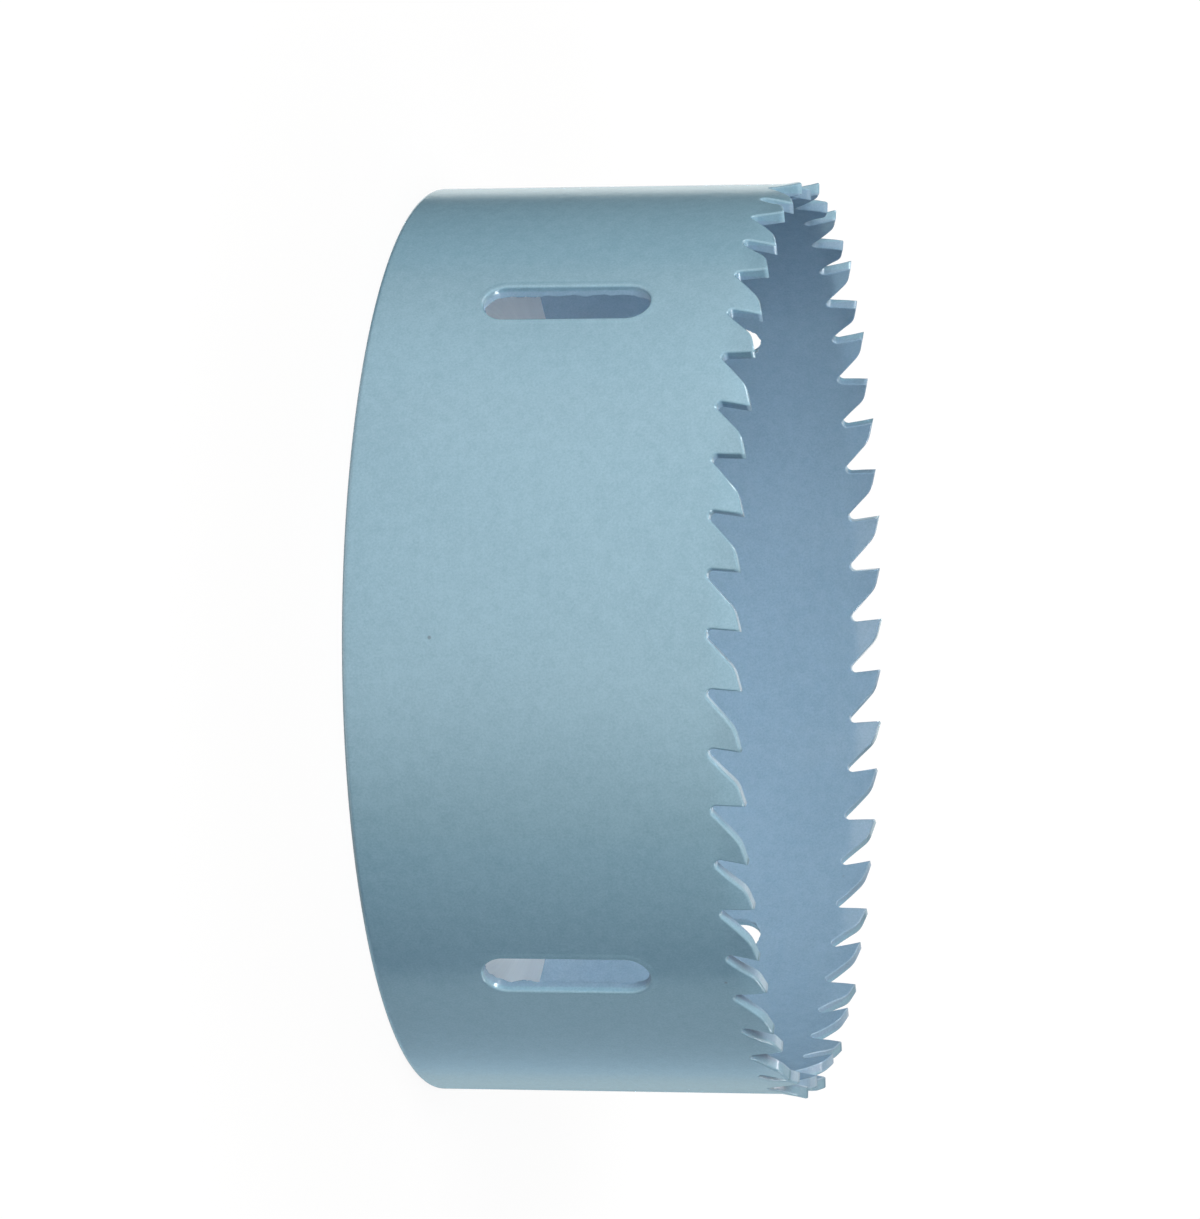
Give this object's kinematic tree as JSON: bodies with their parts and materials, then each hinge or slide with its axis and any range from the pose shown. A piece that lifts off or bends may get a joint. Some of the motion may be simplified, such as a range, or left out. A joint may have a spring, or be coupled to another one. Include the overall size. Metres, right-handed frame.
{
  "type": "hole saw",
  "caption": "Cup-shaped hole saw with a toothed rim, slug slots through its wall and a flat back plate with a threaded arbor hole and drive-pin holes.",
  "frame": {"origin": "centre of the back plate's outer face, on the saw's axis", "axes": "+Z along the saw's axis from the back plate towards the teeth; +X and +Y each point through the middle of a slug slot"},
  "size_m": [0.1049, 0.1046, 0.0433],
  "materials": {
    "saw_paint": "satin",
    "plate_steel": "satin"
  },
  "bodies": {
    "root": {"toothed_wall": "saw_paint", "back_plate": "plate_steel"}
  },
  "joints": []
}
